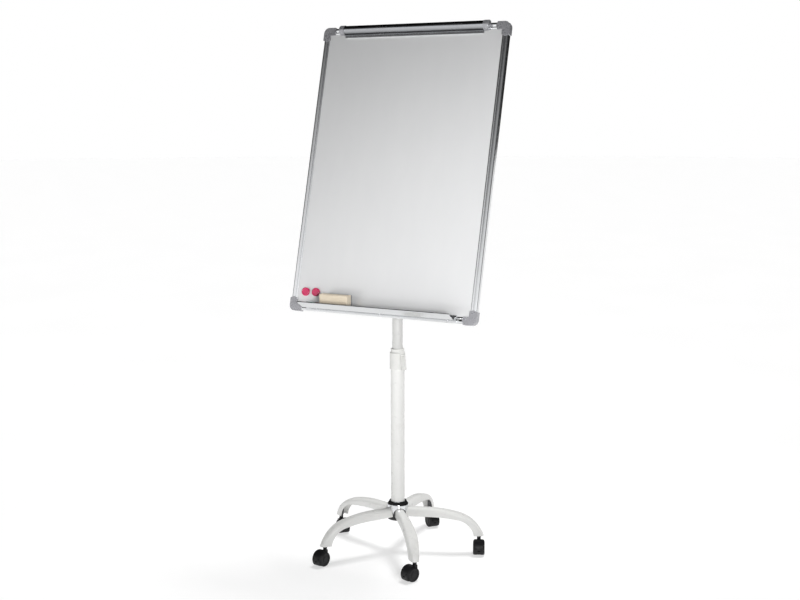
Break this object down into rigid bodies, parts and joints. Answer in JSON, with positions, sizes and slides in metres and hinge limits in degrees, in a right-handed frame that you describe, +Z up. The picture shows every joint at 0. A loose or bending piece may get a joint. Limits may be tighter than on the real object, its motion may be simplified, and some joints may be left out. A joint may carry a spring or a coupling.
{
  "type": "flipchart easel",
  "caption": "Mobile flipchart easel: tilting framed whiteboard with pad clamp and pen tray on a telescopic mast, with a five-legged base on twin-wheel casters.",
  "frame": {"origin": "on the floor, on the axis of the mast", "axes": "+Z up, the board's front looks towards -Y, +X to the right of someone facing the board"},
  "size_m": [0.709, 0.5918, 1.8282],
  "materials": {
    "white_paint": "satin powder coat",
    "white_plastic": "moulded, satin",
    "hub_steel": "satin black",
    "chrome": "polished",
    "steel": "zinc plated",
    "head_casting": "satin black",
    "black_plastic": "moulded, satin",
    "wheel_plastic": "moulded, matt",
    "white_enamel": "gloss enamel",
    "core_board": "fibreboard",
    "back_metal": "galvanised, matt",
    "bracket_steel": "satin powder coat",
    "aluminium": "anodised, satin",
    "grey_plastic": "moulded, fine texture",
    "magnet_pink": "moulded, gloss",
    "eraser_wood": "plain, matt",
    "felt": "dense felt",
    "marker_green": "moulded, gloss",
    "marker_cap": "moulded, gloss"
  },
  "bodies": {
    "base": {"hub_core": "hub_steel", "hub_cap": "chrome", "hub_plate": "hub_steel", "hub_bolt": "steel", "leg_1": "white_paint", "leg_2": "white_paint", "leg_3": "white_paint", "leg_4": "white_paint", "leg_5": "white_paint", "stem_sockets": "hub_steel", "caster_stems": "steel", "lower_tube": "white_paint", "collar": "white_plastic"},
    "lever": {"collar_lever": "white_plastic"},
    "bush": {"guide_bush": "white_plastic"},
    "upper_mast": {"upper_tube": "white_paint", "tube_foot": "white_plastic", "tilt_head": "head_casting", "pivot_bolt": "steel"},
    "knob": {"tilt_knob": "black_plastic"},
    "board": {"board_bracket": "bracket_steel", "back_rails": "bracket_steel", "board_face": "white_enamel", "board_core": "core_board", "back_sheet": "back_metal", "frame_top": "aluminium", "frame_bottom": "aluminium", "frame_left": "aluminium", "frame_right": "aluminium", "corner_top_left": "grey_plastic", "corner_top_right": "grey_plastic", "corner_bottom_left": "grey_plastic", "corner_bottom_right": "grey_plastic", "board_screws": "steel", "pen_tray": "aluminium", "tray_plug_left": "black_plastic", "tray_plug_right": "black_plastic", "clamp_rail": "aluminium", "clamp_rod": "steel", "clamp_end_left": "grey_plastic", "clamp_end_right": "grey_plastic"},
    "clamp": {"clamp_bar": "chrome"},
    "hook_left": {"pad_hook_left": "grey_plastic"},
    "hook_right": {"pad_hook_right": "grey_plastic"},
    "magnet_1": {"magnet_1": "magnet_pink"},
    "magnet_2": {"magnet_2": "magnet_pink"},
    "eraser": {"eraser_block": "eraser_wood", "eraser_felt": "felt"},
    "marker": {"marker_barrel": "marker_green", "marker_cap": "marker_cap"},
    "caster_1": {"caster_housing_1": "black_plastic"},
    "wheels_1": {"caster_wheels_1": "wheel_plastic"},
    "caster_2": {"caster_housing_2": "black_plastic"},
    "wheels_2": {"caster_wheels_2": "wheel_plastic"},
    "caster_3": {"caster_housing_3": "black_plastic"},
    "wheels_3": {"caster_wheels_3": "wheel_plastic"},
    "caster_4": {"caster_housing_4": "black_plastic"},
    "wheels_4": {"caster_wheels_4": "wheel_plastic"},
    "caster_5": {"caster_housing_5": "black_plastic"},
    "wheels_5": {"caster_wheels_5": "wheel_plastic"}
  },
  "joints": [
    {"name": "mast_turn", "type": "hinge", "parent": "base", "child": "bush", "pos_m": [0, 0, 0.705], "axis": [0, 0, 1], "continuous": true},
    {"name": "mast_height", "type": "slide", "parent": "bush", "child": "upper_mast", "axis": [0, 0, 1], "range_m": [-0.1, 0.3]},
    {"name": "board_tilt", "type": "hinge", "parent": "upper_mast", "child": "board", "pos_m": [0, 0, 1.137], "axis": [-1, 0, 0], "range_deg": [-15, 20]},
    {"name": "knob_turn", "type": "hinge", "parent": "upper_mast", "child": "knob", "pos_m": [0.035, 0, 1.137], "axis": [1, 0, 0], "range_deg": [0, 360]},
    {"name": "lever_flip", "type": "hinge", "parent": "base", "child": "lever", "pos_m": [0.02731, -0.01216, 0.702], "axis": [-0.4067, -0.9135, 0], "range_deg": [0, 100]},
    {"name": "clamp_lift", "type": "hinge", "parent": "board", "child": "clamp", "pos_m": [0, 0.11838, 1.82221], "axis": [-1, 0, 0], "range_deg": [0, 95]},
    {"name": "hook_left_slide", "type": "slide", "parent": "board", "child": "hook_left", "axis": [1, 0, 0], "range_m": [-0.03, 0.09]},
    {"name": "hook_right_slide", "type": "slide", "parent": "board", "child": "hook_right", "axis": [1, 0, 0], "range_m": [-0.09, 0.03]},
    {"name": "magnet_1_lift", "type": "slide", "parent": "board", "child": "magnet_1", "axis": [0, -0.9659, 0.2588], "range_m": [0, 0.05]},
    {"name": "magnet_2_lift", "type": "slide", "parent": "board", "child": "magnet_2", "axis": [0, -0.9659, 0.2588], "range_m": [0, 0.05]},
    {"name": "eraser_lift", "type": "slide", "parent": "board", "child": "eraser", "axis": [0, 0, 1], "range_m": [0, 0.1]},
    {"name": "marker_lift", "type": "slide", "parent": "board", "child": "marker", "axis": [0, 0, 1], "range_m": [0, 0.1]},
    {"name": "swivel_1", "type": "hinge", "parent": "base", "child": "caster_1", "pos_m": [-0.15549, -0.23944, 0.05], "axis": [0, 0, 1], "continuous": true},
    {"name": "roll_1", "type": "hinge", "parent": "caster_1", "child": "wheels_1", "pos_m": [-0.15862, -0.25919, 0.025], "axis": [-0.9877, 0.1564, 0], "continuous": true},
    {"name": "swivel_2", "type": "hinge", "parent": "base", "child": "caster_2", "pos_m": [0.17967, -0.22187, 0.05], "axis": [0, 0, 1], "continuous": true},
    {"name": "roll_2", "type": "hinge", "parent": "caster_2", "child": "wheels_2", "pos_m": [0.17283, -0.24067, 0.025], "axis": [-0.9397, 0.342, 0], "continuous": true},
    {"name": "swivel_3", "type": "hinge", "parent": "base", "child": "caster_3", "pos_m": [0.26654, 0.10231, 0.05], "axis": [0, 0, 1], "continuous": true},
    {"name": "roll_3", "type": "hinge", "parent": "caster_3", "child": "wheels_3", "pos_m": [0.27467, 0.08404, 0.025], "axis": [-0.9135, -0.4067, 0], "continuous": true},
    {"name": "swivel_4", "type": "hinge", "parent": "base", "child": "caster_4", "pos_m": [-0.01494, 0.28511, 0.05], "axis": [0, 0, 1], "continuous": true},
    {"name": "roll_4", "type": "hinge", "parent": "caster_4", "child": "wheels_4", "pos_m": [0.00038, 0.27225, 0.025], "axis": [-0.6428, -0.766, 0], "continuous": true},
    {"name": "swivel_5", "type": "hinge", "parent": "base", "child": "caster_5", "pos_m": [-0.27577, 0.07389, 0.05], "axis": [0, 0, 1], "continuous": true},
    {"name": "roll_5", "type": "hinge", "parent": "caster_5", "child": "wheels_5", "pos_m": [-0.26091, 0.06051, 0.025], "axis": [-0.6691, -0.7431, 0], "continuous": true}
  ]
}
